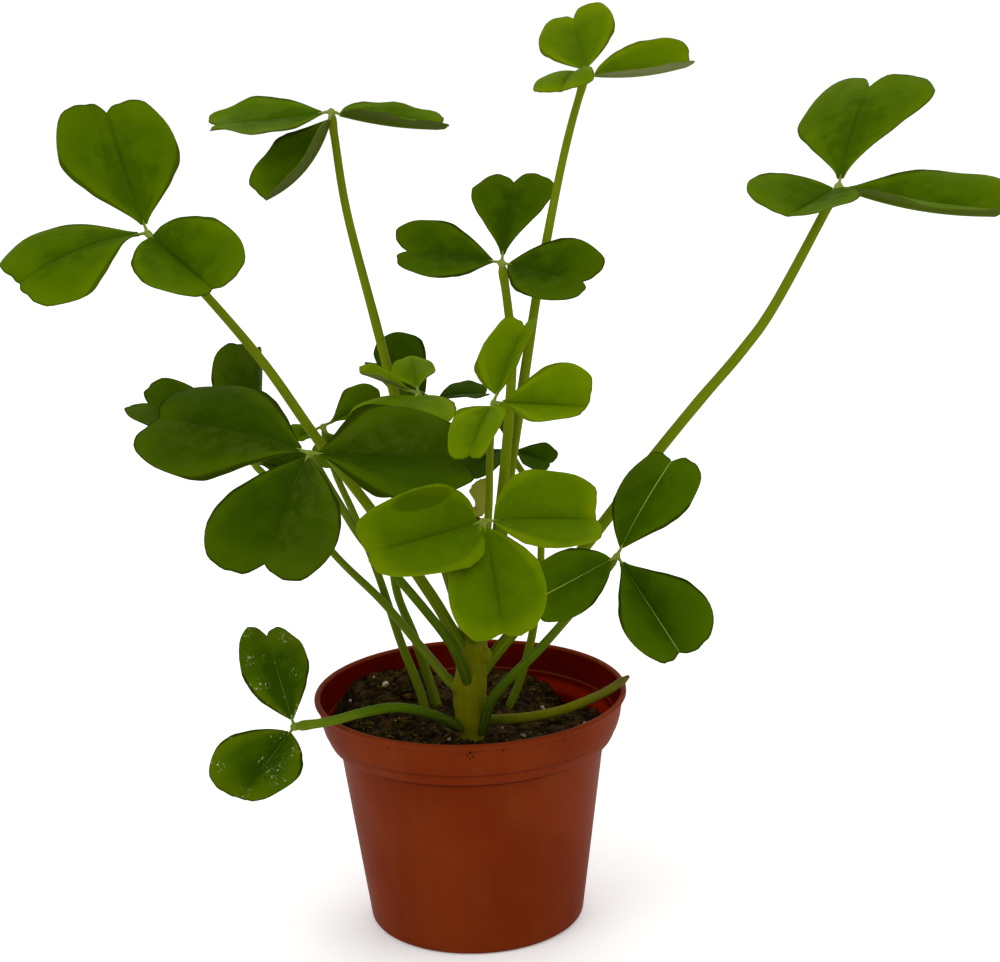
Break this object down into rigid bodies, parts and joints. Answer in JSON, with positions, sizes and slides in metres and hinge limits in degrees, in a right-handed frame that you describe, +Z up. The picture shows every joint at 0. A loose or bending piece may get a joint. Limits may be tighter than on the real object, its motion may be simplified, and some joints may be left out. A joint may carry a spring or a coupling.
{
  "type": "potted tree oxalis",
  "caption": "Tree oxalis with clover-like leaves on long stalks, growing from a short fleshy trunk in soil in a round terracotta-coloured plastic nursery pot.",
  "frame": {"origin": "middle of the pot's underside", "axes": "+Z up along the pot's axis; -Y is the front, the side that the picture shows; +X to the right seen from the front"},
  "size_m": [0.3162, 0.191, 0.3029],
  "materials": {
    "pot_plastic": "terracotta-coloured moulded plastic, satin",
    "soil": "dark peaty potting soil",
    "perlite": "white expanded grains",
    "moss": "small mossy clumps",
    "trunk": "fleshy olive-yellow stem",
    "young_growth": "pale khaki young leaves",
    "cut_stalk": "pale withered stalk",
    "stalk": "smooth green leaf stalk",
    "leaf": "smooth green leaf with a paler edge"
  },
  "bodies": {
    "root": {"pot": "pot_plastic", "soil": "soil", "trunk": "trunk", "growing_tip": "young_growth", "stub": "cut_stalk", "stalk_left_high": "stalk", "stalk_left_top": "stalk", "stalk_right_top": "stalk", "stalk_right_high": "stalk", "stalk_middle_high": "stalk", "stalk_middle_bright": "stalk", "stalk_front_bright": "stalk", "stalk_left_dark": "stalk", "stalk_right_dark": "stalk", "stalk_back_left": "stalk", "stalk_low_left": "stalk", "stalk_middle_small": "stalk", "stalk_back_right": "stalk", "stalk_back_middle": "stalk", "stalk_back_small": "stalk", "leaf_left_high": "leaf", "leaf_left_top": "leaf", "leaf_right_top": "leaf", "leaf_right_high": "leaf", "leaf_middle_high": "leaf", "leaf_middle_bright": "leaf", "leaf_front_bright": "leaf", "leaf_left_dark": "leaf", "leaf_right_dark": "leaf", "leaf_back_left": "leaf", "leaf_low_left": "leaf", "leaf_middle_small": "leaf", "leaf_back_right": "leaf", "leaf_back_middle": "leaf", "leaf_back_small": "leaf"}
  },
  "joints": []
}
